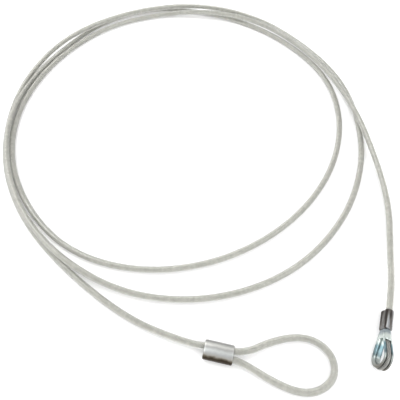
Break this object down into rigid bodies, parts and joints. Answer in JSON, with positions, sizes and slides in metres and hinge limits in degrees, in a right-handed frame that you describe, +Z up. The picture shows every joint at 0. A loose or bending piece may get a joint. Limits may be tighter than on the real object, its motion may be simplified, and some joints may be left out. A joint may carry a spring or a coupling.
{
  "type": "wire rope lanyard with thimble eye",
  "caption": "Clear-coated wire rope lanyard in a loose coil, with a thimble eye at one end and a crimped soft eye at the other",
  "frame": {"origin": "on the surface the coil lies on, at the middle of the whole part's box", "axes": "+Z up from the surface, +Y from the two eyes across the coil to its far side, +X to the right seen from the eyes"},
  "size_m": [0.2279, 0.2757, 0.0107],
  "materials": {
    "clear_coating": "clear soft plastic, faintly yellow-grey, smooth and glossy",
    "rope_wire": "galvanised wire rope, strands laid in a helix",
    "zinc_plate": "stamped steel with bright blue-white zinc plate",
    "dark_sleeve": "dull dark crimped sleeve with lengthwise press marks",
    "bright_sleeve": "bright crimped sleeve with press facets"
  },
  "bodies": {
    "root": {"cable_jacket": "clear_coating", "wire_rope": "rope_wire", "thimble": "zinc_plate", "thimble_sleeve": "dark_sleeve", "loop_sleeve": "bright_sleeve"}
  },
  "joints": []
}
